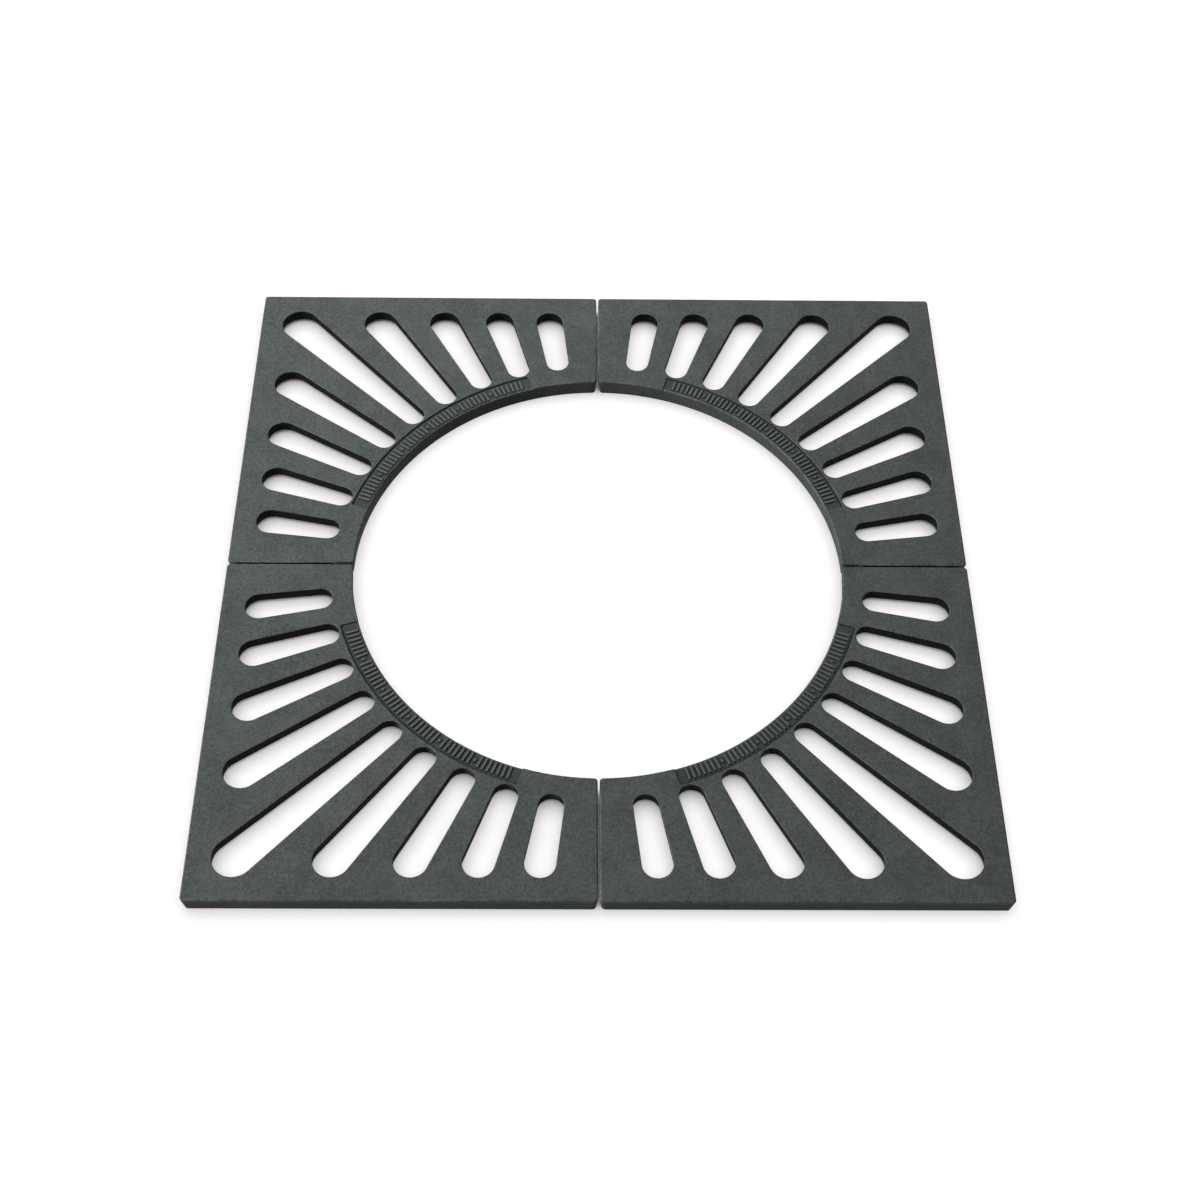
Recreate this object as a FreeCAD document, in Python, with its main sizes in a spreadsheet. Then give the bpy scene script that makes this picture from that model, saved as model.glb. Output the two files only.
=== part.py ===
import FreeCAD, Part
import math
import os

import Sketcher

# A square cast iron tree grate, laid as four quarter castings round a tree.
# Millimetres and degrees. +Z is up, and +Y points to the back of the square.
# The origin is on the ground, under the middle of the tree opening.

SIZES = [
    ("side", 1000, "outer side of the whole square, across the top face"),
    ("joint_gap", 2, "gap between two quarters, across the top face"),
    ("rim_height", 26, "from the ground to the top face"),
    ("plate_thickness", 18, "iron between the slots"),
    ("opening_radius", 330, "tree opening, at the top face"),
    ("wall_draft", 5, "lean of the rim walls, wider at the top"),
    ("corner_radius", 5, "all five corners of a quarter"),
    ("edge_bevel", 1.5, "bevel along the outline of the top face"),
    ("slot_pitch", 9, "angle between two slots"),
    ("slot_half_angle", 2.42, "slot sides are radii of the opening, this far off its centre line"),
    ("slot_inner_centre", 374, "from the middle of the opening to a slot's inner round end"),
    ("slot_margin", 32, "iron between the slots and the outer side"),
    ("slot_draft", 7, "lean of the slot walls, narrower at the top"),
    ("band_radius", 355, "outer arc of the sunk name band"),
    ("band_half_span", 28.35, "half of the band's angle round the opening"),
    ("band_depth", 1.8, "how far the band lies below the top face"),
    ("band_mouth", 20, "how far the band's cut reaches out over the opening"),
    ("rim_width", 16, "rim all round the underside"),
    ("recess_draft", 10, "lean of the rim's inner walls"),
    ("recess_corner_bevel", 6, "bevel across the corners of the hollow under the plate"),
]

# The quarter is drawn in the back right of the square and turned to its place.
QUARTERS = [
    ("quadrant_back_right", 0),
    ("quadrant_back_left", 90),
    ("quadrant_front_left", 180),
    ("quadrant_front_right", 270),
]

VALUE = dict((alias, value) for alias, value, note in SIZES)

# The slots are counted from a joint, and the last of them lies on the quarter's diagonal.
SLOTS_TO_DIAGONAL = 5
DIAGONAL = 45

# Two heights nearer than this are the same.
SAME_HEIGHT = 1e-4

# A sketch's own X axis, whose start is the sketch's origin, and the points of a line or an arc.
X_AXIS = -1
START, END, CENTRE = 1, 2, 3

UP = FreeCAD.Vector(0, 0, 1)
SIZE_OF = {"Fillet": "Radius", "Chamfer": "Size"}

doc = FreeCAD.newDocument("tree_grate")


def make_sheet():
    sheet = doc.addObject("Spreadsheet::Sheet", "sizes")
    for row, (alias, value, note) in enumerate(SIZES, start=1):
        sheet.set("A%d" % row, note)
        sheet.set("B%d" % row, str(value))
        sheet.setAlias("B%d" % row, alias)
    doc.recompute()


def origin_plane(body, role):
    return [item for item in body.Origin.OriginFeatures if item.Role == role][0]


def new_sketch(body, name, height, turn="0"):
    """A sketch on a level plane at a height, its X axis turned about the opening's axis."""
    sketch = body.newObject("Sketcher::SketchObject", body.Name + "_" + name)
    sketch.AttachmentSupport = (origin_plane(body, "XY_Plane"), "")
    sketch.MapMode = "FlatFace"
    sketch.setExpression(".AttachmentOffset.Base.z", height)
    sketch.setExpression(".AttachmentOffset.Rotation.Angle", turn)
    return sketch


def tie(sketch, kind, *where):
    sketch.addConstraint(Sketcher.Constraint(kind, *where))


def drive(sketch, name, formula, kind, *where):
    """A dimension whose value follows a formula of the sheet."""
    index = sketch.addConstraint(Sketcher.Constraint(kind, *where))
    sketch.renameConstraint(index, name)
    sketch.setExpression("Constraints." + name, formula)


def point(x, y):
    return FreeCAD.Vector(x, y, 0)


def arc(x, radius, start, end):
    """An arc centred on the X axis, between two angles in degrees."""
    circle = Part.Circle(point(x, 0), UP, radius)
    return Part.ArcOfCircle(circle, math.radians(start), math.radians(end))


def draw_outline(sketch, inset):
    """The quarter's outline: two joint sides, two outer sides and the arc of the opening.

    inset is the alias of a width that every side moves in by, or an empty text.
    """
    width = VALUE[inset] if inset else 0
    less = " - sizes." + inset if inset else ""
    more = " + sizes." + inset if inset else ""
    near = VALUE["joint_gap"] / 2 + width
    far = VALUE["side"] / 2 - width
    radius = VALUE["opening_radius"] + width
    reach = math.sqrt(radius ** 2 - near ** 2)
    lean = math.degrees(math.asin(near / radius))
    corners = [
        point(reach, near),
        point(far, near),
        point(far, far),
        point(near, far),
        point(near, reach),
    ]
    lines = [sketch.addGeometry(Part.LineSegment(*ends)) for ends in zip(corners, corners[1:])]
    joint_x, outer_x, outer_y, joint_y = lines
    opening = sketch.addGeometry(arc(0, radius, lean, 90 - lean))
    for side in (joint_x, outer_x, outer_y):
        tie(sketch, "Coincident", side, END, side + 1, START)
    tie(sketch, "Coincident", joint_y, END, opening, END)
    tie(sketch, "Coincident", opening, START, joint_x, START)
    tie(sketch, "Coincident", opening, CENTRE, X_AXIS, START)
    tie(sketch, "Horizontal", joint_x)
    tie(sketch, "Vertical", outer_x)
    tie(sketch, "Horizontal", outer_y)
    tie(sketch, "Vertical", joint_y)
    near_formula = "sizes.joint_gap / 2" + more
    far_formula = "sizes.side / 2" + less
    drive(sketch, "joint_below", near_formula, "DistanceY", X_AXIS, START, joint_x, START, near)
    drive(sketch, "joint_left", near_formula, "DistanceX", X_AXIS, START, joint_y, END, near)
    drive(sketch, "side_right", far_formula, "DistanceX", X_AXIS, START, outer_x, START, far)
    drive(sketch, "side_above", far_formula, "DistanceY", X_AXIS, START, outer_y, START, far)
    drive(sketch, "opening", "sizes.opening_radius" + more, "Radius", opening, radius)


def draw_slot(sketch, number):
    """A slot along X: two radii of the opening, closed by a small and a larger round end.

    Each slot of the fan is as long as the iron left at the outer side allows.
    """
    turn = math.radians(VALUE["slot_pitch"] * number)
    half = VALUE["slot_half_angle"]
    narrowing = math.cos(math.radians(half))
    spread = math.sin(math.radians(half))
    inner = VALUE["slot_inner_centre"]
    outer = (VALUE["side"] / 2 - VALUE["slot_margin"]) / (math.cos(turn) + spread)
    inner_end = sketch.addGeometry(arc(inner, inner * spread, 90 + half, 270 - half))
    outer_end = sketch.addGeometry(arc(outer, outer * spread, -90 - half, 90 + half))

    def touch(centre, side):
        """Where an end's arc runs into the slot's upper side, 1, or lower side, -1."""
        return point(centre * narrowing ** 2, side * centre * spread * narrowing)

    upper = sketch.addGeometry(Part.LineSegment(touch(inner, 1), touch(outer, 1)))
    lower = sketch.addGeometry(Part.LineSegment(touch(outer, -1), touch(inner, -1)))
    tie(sketch, "PointOnObject", inner_end, CENTRE, X_AXIS)
    tie(sketch, "PointOnObject", outer_end, CENTRE, X_AXIS)
    tie(sketch, "Tangent", inner_end, START, upper, START)
    tie(sketch, "Tangent", upper, END, outer_end, END)
    tie(sketch, "Tangent", outer_end, START, lower, START)
    tie(sketch, "Tangent", lower, END, inner_end, END)
    inner_place = "sizes.slot_inner_centre"
    sine = "sin(sizes.slot_half_angle)"
    outer_place = "(sizes.side / 2 - sizes.slot_margin) / (cos(sizes.slot_pitch * %d) + %s)" % (number, sine)
    drive(sketch, "inner_centre", inner_place, "DistanceX", X_AXIS, START, inner_end, CENTRE, inner)
    drive(sketch, "outer_centre", outer_place, "DistanceX", X_AXIS, START, outer_end, CENTRE, outer)
    drive(sketch, "inner_radius", inner_place + " * " + sine, "Radius", inner_end, inner * spread)
    drive(sketch, "outer_radius", outer_place + " * " + sine, "Radius", outer_end, outer * spread)


def draw_band_section(sketch):
    """The air over the sunk band, cut by a plane through the opening's axis.

    X runs outwards and Y up. The floor ends in a bevelled lip, like the top face beside the band.
    """
    lean = math.radians(VALUE["wall_draft"])
    bevel = VALUE["edge_bevel"]
    ceiling = VALUE["rim_height"] + bevel
    floor = VALUE["rim_height"] - VALUE["band_depth"]
    outer = VALUE["band_radius"]
    wall = VALUE["opening_radius"] + VALUE["band_depth"] * math.tan(lean)
    mouth = VALUE["opening_radius"] - VALUE["band_mouth"]
    foot = point(wall + bevel * math.sin(lean), floor - bevel * math.cos(lean))
    corners = [
        foot,
        point(mouth, foot.y),
        point(mouth, ceiling),
        point(outer, ceiling),
        point(outer, floor),
        point(wall + bevel, floor),
        foot,
    ]
    sides = [sketch.addGeometry(Part.LineSegment(*ends)) for ends in zip(corners, corners[1:])]
    below, inside, above, outside, bed, lip = sides
    for first, second in zip(sides, sides[1:] + sides[:1]):
        tie(sketch, "Coincident", first, END, second, START)
    for level in (below, above, bed):
        tie(sketch, "Horizontal", level)
    for upright in (inside, outside):
        tie(sketch, "Vertical", upright)

    def place(name, formula, kind, side, value):
        """Sets how far the start of a side lies from the sketch's origin."""
        drive(sketch, name, formula, kind, X_AXIS, START, side, START, value)

    wall_place = "sizes.opening_radius + sizes.band_depth * tan(sizes.wall_draft)"
    foot_place = wall_place + " + sizes.edge_bevel * sin(sizes.wall_draft)"
    floor_height = "sizes.rim_height - sizes.band_depth"
    foot_height = floor_height + " - sizes.edge_bevel * cos(sizes.wall_draft)"
    place("foot", foot_place, "DistanceX", below, foot.x)
    place("foot_height", foot_height, "DistanceY", below, foot.y)
    place("mouth", "sizes.opening_radius - sizes.band_mouth", "DistanceX", inside, mouth)
    place("ceiling", "sizes.rim_height + sizes.edge_bevel", "DistanceY", above, ceiling)
    place("outer", "sizes.band_radius", "DistanceX", outside, outer)
    place("floor", floor_height, "DistanceY", bed, floor)
    place("lip", wall_place + " + sizes.edge_bevel", "DistanceX", lip, wall + bevel)


def spans(shape, low, high):
    """Whether a face or an edge reaches from one height to another, or lies level if they are one."""
    box = shape.BoundBox
    return abs(box.ZMin - low) < SAME_HEIGHT and abs(box.ZMax - high) < SAME_HEIGHT


def extrude(body, kind, sketch, length, reverse, taper="0"):
    """A pad or pocket from a sketch, its walls leaning by taper."""
    feature = body.newObject("PartDesign::" + kind, sketch.Name + "_" + kind.lower())
    feature.Profile = sketch
    feature.Type = "Length"
    feature.Reversed = reverse
    feature.setExpression("Length", length)
    feature.setExpression("TaperAngle", taper)
    doc.recompute()
    return feature


def lean_walls(body, name, angle, low, high, level):
    """Leans the walls that rise from low to high, about the level face they meet at a height.

    Away from that face the iron or the hollow between the walls narrows.
    """
    base = body.Tip
    walls = []
    levels = []
    for number, face in enumerate(base.Shape.Faces, start=1):
        if spans(face, low, high):
            walls.append("Face%d" % number)
        elif spans(face, level, level):
            levels.append("Face%d" % number)
    feature = body.newObject("PartDesign::Draft", body.Name + "_" + name)
    feature.Base = (base, walls)
    feature.NeutralPlane = (base, levels)
    feature.Reversed = True
    feature.setExpression("Angle", "sizes." + angle)
    doc.recompute()


def dress(body, kind, name, size, low, high):
    """A fillet or chamfer on every edge of the body so far that reaches from low to high."""
    base = body.Tip
    edges = enumerate(base.Shape.Edges, start=1)
    names = ["Edge%d" % number for number, edge in edges if spans(edge, low, high)]
    feature = body.newObject("PartDesign::" + kind, body.Name + "_" + name)
    feature.Base = (base, names)
    feature.setExpression(SIZE_OF[kind], "sizes." + size)
    doc.recompute()


def cut_band(body):
    """The sunk band is turned out round the opening's axis, evenly about the quarter's diagonal.

    Its section stands upright on the diagonal, with the opening's axis as its own Y axis.
    """
    section = body.newObject("Sketcher::SketchObject", body.Name + "_band_section")
    section.AttachmentSupport = (origin_plane(body, "XZ_Plane"), "")
    section.MapMode = "FlatFace"
    on_diagonal = FreeCAD.Rotation(FreeCAD.Vector(0, 1, 0), DIAGONAL)
    section.AttachmentOffset = FreeCAD.Placement(point(0, 0), on_diagonal)
    draw_band_section(section)
    groove = body.newObject("PartDesign::Groove", body.Name + "_band")
    groove.Profile = section
    groove.ReferenceAxis = (section, ["V_Axis"])
    groove.Midplane = True
    groove.setExpression("Angle", "sizes.band_half_span * 2")
    doc.recompute()


def make_quarter(label):
    """One casting: a drafted block with bevelled edges, the fan of slots, the band and the hollow."""
    body = doc.addObject("PartDesign::Body", label)
    body.Label = label
    top = VALUE["rim_height"]
    plate_bottom = top - VALUE["plate_thickness"]

    outline = new_sketch(body, "outline", "sizes.rim_height")
    draw_outline(outline, "")
    extrude(body, "Pad", outline, "sizes.rim_height", True)
    lean_walls(body, "walls", "wall_draft", 0, top, top)
    dress(body, "Fillet", "corners", "corner_radius", 0, top)
    dress(body, "Chamfer", "top_outline", "edge_bevel", top, top)

    slots = []
    for number in range(1, SLOTS_TO_DIAGONAL + 1):
        slot = new_sketch(body, "slot_%d" % number, "sizes.rim_height", "sizes.slot_pitch * %d" % number)
        draw_slot(slot, number)
        slots.append(extrude(body, "Pocket", slot, "sizes.rim_height", False, "sizes.slot_draft"))
    fan = body.newObject("PartDesign::Mirrored", body.Name + "_fan")
    fan.Originals = slots[:-1]
    fan.MirrorPlane = (slots[-1].Profile[0], ["H_Axis"])
    body.Tip = fan
    doc.recompute()

    cut_band(body)

    recess = new_sketch(body, "recess", "0")
    draw_outline(recess, "rim_width")
    extrude(body, "Pocket", recess, "sizes.rim_height - sizes.plate_thickness", True)
    dress(body, "Chamfer", "recess_corners", "recess_corner_bevel", 0, plate_bottom)
    lean_walls(body, "recess_walls", "recess_draft", 0, plate_bottom, 0)
    return body


def check(quarters):
    """Every object of the document has to be in order, and every quarter one valid solid."""
    for item in doc.Objects:
        if "Invalid" in item.State or "Error" in item.State:
            raise RuntimeError("%s could not be made: %s" % (item.Name, item.getStatusString()))
    for quarter in quarters:
        shape = quarter.Shape
        if shape.isNull() or not shape.isValid() or len(shape.Solids) != 1:
            raise RuntimeError("%s is not one valid solid" % quarter.Label)


make_sheet()
quarters = []
for label, turn in QUARTERS:
    quarter = make_quarter(label)
    quarter.Placement = FreeCAD.Placement(point(0, 0), FreeCAD.Rotation(UP, turn))
    quarters.append(quarter)
doc.recompute()
check(quarters)

os.makedirs("parts", exist_ok=True)
for quarter in quarters:
    quarter.Shape.exportStep("parts/%s.step" % quarter.Label)
    print(quarter.Label, "%.0f cubic mm" % quarter.Shape.Volume)
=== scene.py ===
import math

import bmesh
import bpy
from mathutils import Matrix, Vector


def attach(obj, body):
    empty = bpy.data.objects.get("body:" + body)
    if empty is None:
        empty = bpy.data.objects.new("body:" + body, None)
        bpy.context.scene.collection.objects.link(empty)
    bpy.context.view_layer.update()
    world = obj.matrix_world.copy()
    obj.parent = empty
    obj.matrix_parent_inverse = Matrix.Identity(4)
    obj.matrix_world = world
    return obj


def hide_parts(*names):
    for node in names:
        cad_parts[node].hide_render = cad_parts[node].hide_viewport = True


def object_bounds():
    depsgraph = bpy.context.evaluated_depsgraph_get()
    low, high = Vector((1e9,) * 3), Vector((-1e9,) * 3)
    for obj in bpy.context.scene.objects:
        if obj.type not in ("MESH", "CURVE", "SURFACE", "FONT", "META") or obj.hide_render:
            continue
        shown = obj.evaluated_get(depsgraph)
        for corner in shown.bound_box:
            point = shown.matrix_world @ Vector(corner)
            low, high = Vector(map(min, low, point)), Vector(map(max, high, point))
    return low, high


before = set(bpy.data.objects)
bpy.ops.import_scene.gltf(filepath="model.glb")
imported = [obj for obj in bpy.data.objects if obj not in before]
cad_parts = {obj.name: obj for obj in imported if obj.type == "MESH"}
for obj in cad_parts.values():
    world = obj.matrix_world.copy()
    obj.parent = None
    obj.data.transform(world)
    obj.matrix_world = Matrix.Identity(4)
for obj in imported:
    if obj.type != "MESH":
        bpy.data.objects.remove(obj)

# A square cast iron tree grate in four quarter castings, seen from above its front side.
# Metres. +Z is up, +Y is the back of the square, and the ground is at height 0.

CAD_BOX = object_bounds()
TOP = CAD_BOX[1].z
MILLIMETRE = 0.001

# For each body, the solid that its casting replaces and its turn in degrees from the back right.
QUARTERS = {
    "front_left": ("quadrant_front_left", 180),
    "front_right": ("quadrant_front_right", 270),
    "back_right": ("quadrant_back_right", 0),
    "back_left": ("quadrant_back_left", 90),
}
QUARTER_MIDDLE = math.radians(45)

# The sunk band round the opening, between its lip and its outer step.
BAND_DEPTH = 0.0018
BAND_INNER_RADIUS = 0.3325
BAND_OUTER_RADIUS = 0.355

# An edge of a casting is rounded where two faces meet at more than the sharp angle. The slots'
# walls lean under the top face, so their upper edges are sharper than square. An edge that lies
# below the underside's height belongs to the rim's foot or to the hollow under the plate.
SAME_POINT = 1e-5
SHARP_ANGLE = math.radians(25)
STEP_ANGLE = math.radians(60)
SLOT_ANGLE = math.radians(93)
UNDERSIDE = 0.010
PLATE_BOTTOM = 0.008
SLOT_ROUNDING = 0.0013
UNDERSIDE_ROUNDING = 0.0009
OUTLINE_ROUNDING = 0.0008
STEP_ROUNDING = 0.0005

# The band holds a row of plain raised bars, with a short lozenge in place of every eighth bar.
# Both are four-sided: a bar's corners are turned until its sides lie square to the band.
ROW_RADIUS = 0.3422
ROW_START = 0.1045
MARKS_IN_ROW = 47
MARK_PITCH = math.radians(1.13)
LOZENGE_EVERY = 8
BAR = {"length": 0.0185, "width": 0.0046, "corner_turn": math.radians(45)}
LOZENGE = {"length": 0.0092, "width": 0.0058, "corner_turn": 0}
RAISED_DRAFT = 0.0010
RAISED_SINK = 0.0006
RAISED_ROUNDING = 0.0005


def under_top(millimetres):
    """The height that lies this far under the top face."""
    return TOP - millimetres * MILLIMETRE


# Where each part of the iron's look begins and where it is in full. First by height.
BAND_HEIGHTS = (under_top(2.5), under_top(2))
BAND_FLOOR_HEIGHTS = (under_top(1), under_top(1.5))
MARK_TOP_HEIGHTS = (under_top(0.6), under_top(0.2))
# The outer walls lighten towards the top: wear with painted light.
WEAR_AND_LIGHT_HEIGHTS = (under_top(9), TOP)
# Edges lighten here: rubbed paint with a painted highlight.
RUBBED_AND_HIGHLIT_HEIGHTS = (under_top(5), under_top(3.5))
SLOT_HEIGHTS = (PLATE_BOTTOM - MILLIMETRE, PLATE_BOTTOM)

# By the distance from the axis of the opening.
BAND_START = (BAND_INNER_RADIUS, BAND_INNER_RADIUS + MILLIMETRE)
BAND_END = (BAND_OUTER_RADIUS, BAND_OUTER_RADIUS - MILLIMETRE / 4)
STEP_SIDE = (BAND_OUTER_RADIUS - MILLIMETRE, BAND_OUTER_RADIUS - 2 * MILLIMETRE)
STEP_FOOT = (BAND_OUTER_RADIUS - 3 * MILLIMETRE, BAND_OUTER_RADIUS - MILLIMETRE)
SLOTS_START = (BAND_OUTER_RADIUS, BAND_OUTER_RADIUS + 5 * MILLIMETRE)
PAST_THE_LIP = (0.34, 0.36)

# By the distance from the nearer joint, and from the middle towards the nearest outer side.
ROW_END = (ROW_START, ROW_START + MILLIMETRE)
SLOTS_END = (0.492, 0.487)

# By how far a face looks up: 1 for the top face, 0 for an upright wall, -1 for the underside.
OFF_LEVEL = (0.95, 0.5)
NOT_UPWARDS = (0.6, 0.1)
NOT_DOWNWARDS = (-0.8, -0.4)
ABOVE_THE_WALL = (0.2, 0.6)
BELOW_THE_TOP = (0.99, 0.9)

# The coat's greys as shares of white, all with the same cool tint.
COOL = (0.92, 1.04, 1.04)
COAT_DARK = 0.049
COAT_LIGHT = 0.110
# Painted shade: the near black of the slots' walls, the marks' sides and the band's floor.
PAINTED_SHADE_GREY = 0.003
# Wear with painted light: the lighter tops of the outer walls and of the marks.
WEAR_AND_PAINTED_LIGHT_GREY = 0.17
# Rubbed paint with a painted highlight on the rounded edges.
RUBBED_AND_HIGHLIT_GREY = 0.19

# The iron's grain: how often each pattern comes along a metre, and which of its values count.
BLOTCH_SCALE = 22
HOLLOW_SCALE = 70
PIT_SCALE = 260
SPECKLE_SCALE = 330
SAND_SCALE = 1000
SHADE_RANGE = (0.38, 0.62)
PATCH_RANGE = (0.4, 0.62)
PIT_RANGE = (0.05, 0.3)
IRON_ROUGHNESS = 0.62
IRON_SPECULAR = 0.15

# The camera, fitted to the photograph's frame of 1200 by 1200 pixels.
FRAME_PIXELS = 1200
FOCAL_PIXELS = 1810.1
SENSOR_WIDTH = 36
CAMERA_PLACE = Vector((-0.0279, -1.4539, 1.9939))
CAMERA_DOWN = math.radians(54.663)
CAMERA_RIGHT = math.radians(1.249)
CAMERA_ROLL = math.radians(-1.304)
LEVEL_LOOK = math.radians(90)

# The grate's light: a faint sky all round, a soft box above its back and one at its left.
SKY_STRENGTH = 0.06
BACK_BOX = {"place": (-0.580, 1.595, 1.697), "size": 1.2, "power": 37}
LEFT_BOX = {"place": (-4.096, -1.097, 2.650), "size": 1.8, "power": 250}

# The floor's light: a wide lamp overhead, which gives it the grate's soft shadow.
OVERHEAD_PLACE = (0, 0.08, 1.6)
OVERHEAD_STRENGTH = 2.60
OVERHEAD_SPREAD = math.radians(94)

# The floor glows with this share of white, and the lamp lights the rest to a little over white.
# The glow goes out where a point sees little of the sky within the reach, as in the joints.
# In the light that it throws on the grate, the floor is only a dark grey.
FLOOR_HALF_SIDE = 20
FLOOR_GLOW = 0.34
FLOOR_BOUNCE = 0.035
SKY_REACH = 0.04
SKY_SEEN = (0.14, 0.42)
SKY_SAMPLES = 8
GLOW_TINT = (1.0, 0.985, 0.987, 1)
LIT_TINT = (1.29, 1.255, 1.262, 1)


class Socket:
    """An output of a node, on which Python's operators add Math nodes."""

    def __init__(self, nodes, source):
        self.nodes, self.source = nodes, source

    def maths(self, operation, *others):
        return self.nodes.add("Math", {"operation": operation}, [self, *others])

    def __add__(self, other):
        return self.maths("ADD", other)

    def __sub__(self, other):
        return self.maths("SUBTRACT", other)

    def __rsub__(self, other):
        return self.nodes.add("Math", {"operation": "SUBTRACT"}, [other, self])

    def __mul__(self, other):
        return self.maths("MULTIPLY", other)

    def __pow__(self, other):
        return self.maths("POWER", other)

    def __abs__(self):
        return self.maths("ABSOLUTE")

    __radd__, __rmul__ = __add__, __mul__


class Nodes:
    """The node tree of a material or a world."""

    def __init__(self, owner):
        owner.use_nodes = True
        self.tree = owner.node_tree
        self.tree.nodes.clear()

    def add(self, kind, settings=None, inputs=(), output=0):
        """Adds a node of a kind, sets it up, feeds its inputs and returns one of its outputs.

        inputs is a list in the order of the sockets, or a dict from their names or places.
        """
        node = self.tree.nodes.new("ShaderNode" + kind)
        for name, value in (settings or {}).items():
            setattr(node, name, value)
        pairs = inputs.items() if isinstance(inputs, dict) else enumerate(inputs)
        for place, value in pairs:
            if isinstance(value, Socket):
                self.tree.links.new(value.source, node.inputs[place])
            else:
                node.inputs[place].default_value = value
        return Socket(self, node.outputs[output]) if node.outputs else None

    def maximum(self, first, second):
        return self.add("Math", {"operation": "MAXIMUM"}, [first, second])

    def minimum(self, first, second):
        return self.add("Math", {"operation": "MINIMUM"}, [first, second])

    def between(self, begins, full, value):
        """0 where the value hasn't reached begins, 1 where it has passed full, smooth in between."""
        inputs = {"Value": value, "From Min": begins, "From Max": full}
        return self.add("MapRange", {"interpolation_type": "SMOOTHSTEP"}, inputs)

    def noise(self, place, scale, detail, roughness=0.55):
        inputs = {"Vector": place, "Scale": scale, "Detail": detail, "Roughness": roughness}
        return self.add("TexNoise", {"noise_dimensions": "3D"}, inputs)

    def mix(self, factor, first, second):
        """A colour between two colours, whose sockets on the Mix node have these places."""
        inputs = {"Factor": factor, 6: first, 7: second}
        return self.add("Mix", {"data_type": "RGBA"}, inputs, output=2)

    def seen(self):
        """1 where the camera looks, straight, in a reflection or through glass, and 0 elsewhere."""
        rays = ("Is Camera Ray", "Is Glossy Ray", "Is Transmission Ray")
        straight, mirrored, through = [self.add("LightPath", output=ray) for ray in rays]
        return self.maximum(self.maximum(straight, mirrored), through)


def grey(level, tint=(1.0, 1.0, 1.0)):
    return (level * tint[0], level * tint[1], level * tint[2], 1)


def iron_places(iron, place):
    """Where shade is painted, where wear and painted light lighten the coat, where rubbed paint and
    a painted highlight lighten its edges, and where the slots' walls are, each from 0 to 1.
    """
    up = iron.add("SeparateXYZ", inputs=[iron.add("TexCoord", output="Normal")], output="Z")
    across, along, height = [iron.add("SeparateXYZ", inputs=[place], output=axis) for axis in "XYZ"]
    from_axis = (across * across + along * along) ** 0.5
    from_joint = iron.minimum(abs(across), abs(along))
    from_middle = iron.maximum(abs(across), abs(along))
    upright = iron.between(*NOT_UPWARDS, up) * iron.between(*NOT_DOWNWARDS, up)

    band = iron.between(*BAND_START, from_axis) * iron.between(*BAND_HEIGHTS, height)
    band = band * iron.between(*BAND_END, from_axis)
    mark_sides = iron.between(*OFF_LEVEL, up) * iron.between(*STEP_SIDE, from_axis)
    mark_tops = iron.between(*ROW_END, from_joint) * iron.between(*MARK_TOP_HEIGHTS, height)
    # Painted shade on the band's floor, deepest in a line at the step's foot.
    band_floor_painted_shade = 0.4 + 0.6 * iron.between(*STEP_FOOT, from_axis)
    band_floor = iron.between(*BAND_FLOOR_HEIGHTS, height) * band_floor_painted_shade

    slots = iron.between(*SLOTS_START, from_axis) * iron.between(*SLOTS_END, from_middle)
    slots = slots * iron.between(*SLOT_HEIGHTS, height)
    slot_walls = upright * slots
    outer_walls = upright * (iron.between(*PAST_THE_LIP, from_axis) - slots)

    # Painted shade: near black on the slots' walls, the marks' sides and the band's floor.
    painted_shade_and_dark_bounce = iron.maximum(band * iron.maximum(0.9 * mark_sides, band_floor), slot_walls)
    # Wear with painted light: the outer walls lighter towards the top, and the marks' tops lighter.
    wear_and_painted_light = iron.maximum(iron.between(*WEAR_AND_LIGHT_HEIGHTS, height) * outer_walls, 0.7 * band * mark_tops)
    # Rubbed paint with a painted highlight on the rounded edges near the top, outside the band.
    edges = iron.between(*ABOVE_THE_WALL, up) * iron.between(*BELOW_THE_TOP, up)
    edges = edges * iron.between(*RUBBED_AND_HIGHLIT_HEIGHTS, height) * (1 - band)
    return painted_shade_and_dark_bounce, wear_and_painted_light, edges, slot_walls


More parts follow.
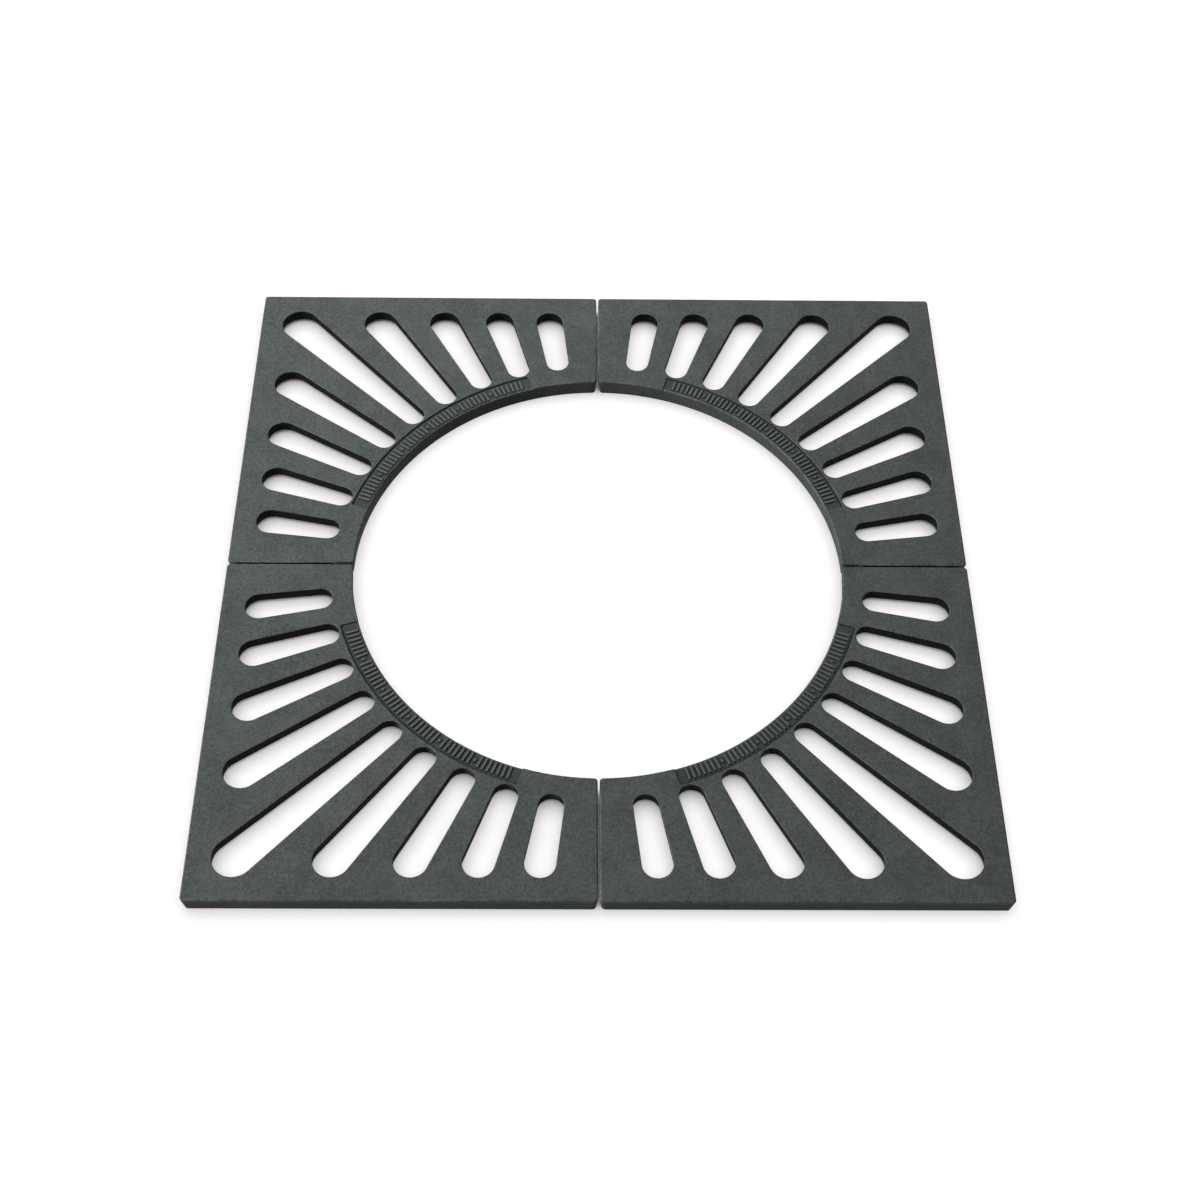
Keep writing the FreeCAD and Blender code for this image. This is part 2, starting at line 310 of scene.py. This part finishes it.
def iron_material():
    """Sand-cast iron under a thin dark coat.

    The coat is blotched and speckled. Shade is painted near black in the slots and in the band's
    corners.
    The outer walls and the marks' tops are lighter, wear with painted light, and the edges are
    lighter, rubbed paint with a painted highlight.
    """
    material = bpy.data.materials.new("coated_cast_iron")
    iron = Nodes(material)
    place = iron.add("TexCoord", output="Object")
    painted_shade_and_dark_bounce, wear_and_painted_light, edges, slot_walls = iron_places(iron, place)
    blotches = iron.noise(place, BLOTCH_SCALE, detail=4)
    hollows = iron.noise(place, HOLLOW_SCALE, detail=2)
    speckle = iron.noise(place, SPECKLE_SCALE, detail=3, roughness=0.6)
    sand = iron.noise(place, SAND_SCALE, detail=2)
    pits = iron.add("TexVoronoi", {"feature": "F1"}, {"Vector": place, "Scale": PIT_SCALE})

    shade = iron.between(*SHADE_RANGE, 0.18 * blotches + 0.44 * speckle + 0.38 * sand)
    patches = iron.between(*PATCH_RANGE, 0.5 * blotches + 0.5 * speckle)
    colour = iron.mix(shade, grey(COAT_DARK, COOL), grey(COAT_LIGHT, COOL))
    # Painted shade, then wear with painted light, then rubbed paint with a painted highlight on the
    # edges.
    colour = iron.mix(painted_shade_and_dark_bounce, colour, grey(PAINTED_SHADE_GREY, COOL))
    colour = iron.mix(0.6 * wear_and_painted_light, colour, grey(WEAR_AND_PAINTED_LIGHT_GREY, COOL))
    colour = iron.mix(0.7 * edges * patches, colour, grey(RUBBED_AND_HIGHLIT_GREY, COOL))

    relief = 0.5 * hollows + 0.8 * sand + 0.75 * speckle + 0.15 * iron.between(*PIT_RANGE, pits)
    bump = iron.add("Bump", {}, {"Strength": 1.0, "Distance": MILLIMETRE, "Height": relief})
    shader = {
        "Base Color": colour,
        "Roughness": IRON_ROUGHNESS + 0.2 * sand + 0.25 * slot_walls,
        "Metallic": 0.0,
        "Normal": bump,
        "Specular IOR Level": IRON_SPECULAR,
    }
    iron.add("OutputMaterial", {}, [iron.add("BsdfPrincipled", {}, shader)])
    return material


def new_piece(name, bm, material):
    """An object at the origin that takes over the shape of a bmesh, in one material."""
    mesh = bpy.data.meshes.new(name)
    bm.to_mesh(mesh)
    bm.free()
    mesh.materials.append(material)
    piece = bpy.data.objects.new(name, mesh)
    bpy.context.scene.collection.objects.link(piece)
    return piece


def rounding(edge):
    """How far an edge of a casting is rounded, by the angle of its faces and where it lies."""
    angle = edge.calc_face_angle()
    from_axis = min(vert.co.xy.length for vert in edge.verts)
    if angle < SHARP_ANGLE:
        return 0
    if max(vert.co.z for vert in edge.verts) < UNDERSIDE:
        return UNDERSIDE_ROUNDING
    if angle > SLOT_ANGLE:
        return SLOT_ROUNDING
    if angle > STEP_ANGLE and BAND_INNER_RADIUS < from_axis < BAND_OUTER_RADIUS + SAME_POINT:
        return STEP_ROUNDING
    return OUTLINE_ROUNDING


def make_casting(body, node, material):
    """A quarter's casting: the solid of the frame, its edges rounded as sand leaves them."""
    bm = bmesh.new()
    bm.from_mesh(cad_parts[node].data)
    bmesh.ops.remove_doubles(bm, verts=bm.verts, dist=SAME_POINT)
    share = bm.edges.layers.float.new("bevel_weight_edge")
    for edge in bm.edges:
        edge[share] = rounding(edge) / SLOT_ROUNDING
    for face in bm.faces:
        face.smooth = True
        face.material_index = 0
    piece = new_piece("casting_" + body, bm, material)
    rounded = piece.modifiers.new("rounded_edges", "BEVEL")
    rounded.limit_method = "WEIGHT"
    rounded.width = SLOT_ROUNDING
    rounded.segments = 3
    rounded.use_clamp_overlap = False
    rounded.loop_slide = False
    piece.modifiers.new("flat_faces", "WEIGHTED_NORMAL").keep_sharp = True
    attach(piece, body)
    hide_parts(node)
    return piece


def add_mark(bm, angle, length, width, corner_turn):
    """A raised mark of the band: a four-sided frustum, its draft as wide all round."""
    low, high = TOP - BAND_DEPTH - RAISED_SINK, TOP
    block = {"segments": 4, "radius1": 1, "radius2": 1, "depth": high - low}
    corners = bmesh.ops.create_cone(bm, cap_ends=True, **block)["verts"]
    turned = Matrix.Rotation(corner_turn, 3, "Z")
    bmesh.ops.rotate(bm, cent=(0, 0, 0), matrix=turned, verts=corners)
    reach = max(vert.co.x for vert in corners)
    bmesh.ops.scale(bm, vec=(length / 2 / reach, width / 2 / reach, 1), verts=corners)
    upper = [vert for vert in corners if vert.co.z > 0]
    narrower = (1 - 2 * RAISED_DRAFT / length, 1 - 2 * RAISED_DRAFT / width, 1)
    bmesh.ops.scale(bm, vec=narrower, verts=upper)
    outwards = Matrix.Translation((ROW_RADIUS, 0, (low + high) / 2))
    bmesh.ops.transform(bm, matrix=Matrix.Rotation(angle, 4, "Z") @ outwards, verts=corners)


def make_band_row(body, turn, material):
    """The row of raised marks in a quarter's band, level with the top face."""
    bm = bmesh.new()
    start = turn + QUARTER_MIDDLE - (MARKS_IN_ROW - 1) / 2 * MARK_PITCH
    for number in range(MARKS_IN_ROW):
        mark = LOZENGE if number % LOZENGE_EVERY == LOZENGE_EVERY - 1 else BAR
        add_mark(bm, start + number * MARK_PITCH, **mark)
    bmesh.ops.bevel(
        bm,
        geom=list(bm.edges),
        offset=RAISED_ROUNDING,
        segments=2,
        profile=0.5,
        affect="EDGES",
        clamp_overlap=True,
        material=-1,
    )
    for face in bm.faces:
        face.smooth = True
    piece = new_piece("band_row_" + body, bm, material)
    piece.modifiers.new("flat_faces", "WEIGHTED_NORMAL").keep_sharp = True
    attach(piece, body)
    return piece


def floor_material():
    """White with a light shadow to the eye and in reflections, and dark grey to the grate."""
    material = bpy.data.materials.new("pale_floor")
    floor = Nodes(material)
    painted_shade_and_dark_bounce = floor.add("BsdfDiffuse", {}, {"Color": grey(FLOOR_BOUNCE)})
    lit = floor.add("BsdfDiffuse", {}, {"Color": LIT_TINT})
    glow = floor.add("Emission", {}, {"Color": GLOW_TINT, "Strength": 1.0})
    samples, reach = {"samples": SKY_SAMPLES}, {"Distance": SKY_REACH}
    sky = floor.add("AmbientOcclusion", samples, reach, output="AO")
    white = floor.add("MixShader", {}, [FLOOR_GLOW * floor.between(*SKY_SEEN, sky), lit, glow])
    floor.add("OutputMaterial", {}, [floor.add("MixShader", {}, [floor.seen(), painted_shade_and_dark_bounce, white])])
    return material


def make_floor():
    bm = bmesh.new()
    bmesh.ops.create_grid(bm, x_segments=1, y_segments=1, size=FLOOR_HALF_SIDE)
    piece = new_piece("floor", bm, floor_material())
    return piece


def make_world():
    """White to the eye and in reflections, and a faint sky to everything else."""
    world = bpy.data.worlds.new("studio")
    studio = Nodes(world)
    faint = studio.add("Background", {}, [grey(1.0), SKY_STRENGTH])
    white = studio.add("Background", {}, [grey(1.0), 1.0])
    studio.add("OutputWorld", {}, [studio.add("MixShader", {}, [studio.seen(), faint, white])])
    bpy.context.scene.world = world


def add_lamp(kind, name, place, energy, receivers):
    """A lamp that looks at the grate's middle and lights only the receivers."""
    lamp = bpy.data.lights.new(name, kind)
    lamp.energy = energy
    holder = bpy.data.objects.new(name, lamp)
    holder.location = place
    holder.rotation_euler = (-Vector(place)).to_track_quat("-Z", "Y").to_euler()
    bpy.context.scene.collection.objects.link(holder)
    lit = bpy.data.collections.new("lit_by_" + name)
    for piece in receivers:
        lit.objects.link(piece)
    holder.light_linking.receiver_collection = lit
    return lamp


def add_box(name, box, receivers):
    lamp = add_lamp("AREA", name, box["place"], box["power"], receivers)
    lamp.shape = "SQUARE"
    lamp.size = box["size"]


def make_lights(pieces, floor):
    """The boxes light the grate alone, so that the floor has only the soft shadow from above."""
    add_box("back_box", BACK_BOX, pieces)
    add_box("left_box", LEFT_BOX, pieces)
    overhead = add_lamp("SUN", "overhead", OVERHEAD_PLACE, OVERHEAD_STRENGTH, [floor])
    overhead.angle = OVERHEAD_SPREAD


def make_camera():
    lens = bpy.data.cameras.new("camera")
    lens.sensor_width = SENSOR_WIDTH
    lens.lens = FOCAL_PIXELS / FRAME_PIXELS * SENSOR_WIDTH
    camera = bpy.data.objects.new("camera", lens)
    right = Matrix.Rotation(-CAMERA_RIGHT, 4, "Z")
    down = Matrix.Rotation(LEVEL_LOOK - CAMERA_DOWN, 4, "X")
    roll = Matrix.Rotation(-CAMERA_ROLL, 4, "Z")
    camera.matrix_world = Matrix.Translation(CAMERA_PLACE) @ right @ down @ roll
    bpy.context.scene.collection.objects.link(camera)
    bpy.context.scene.camera = camera


iron = iron_material()
pieces = []
for body, (node, turn) in QUARTERS.items():
    pieces.append(make_casting(body, node, iron))
    pieces.append(make_band_row(body, math.radians(turn), iron))
floor = make_floor()
make_world()
make_lights(pieces, floor)
make_camera()
bpy.context.scene.view_settings.view_transform = "Standard"
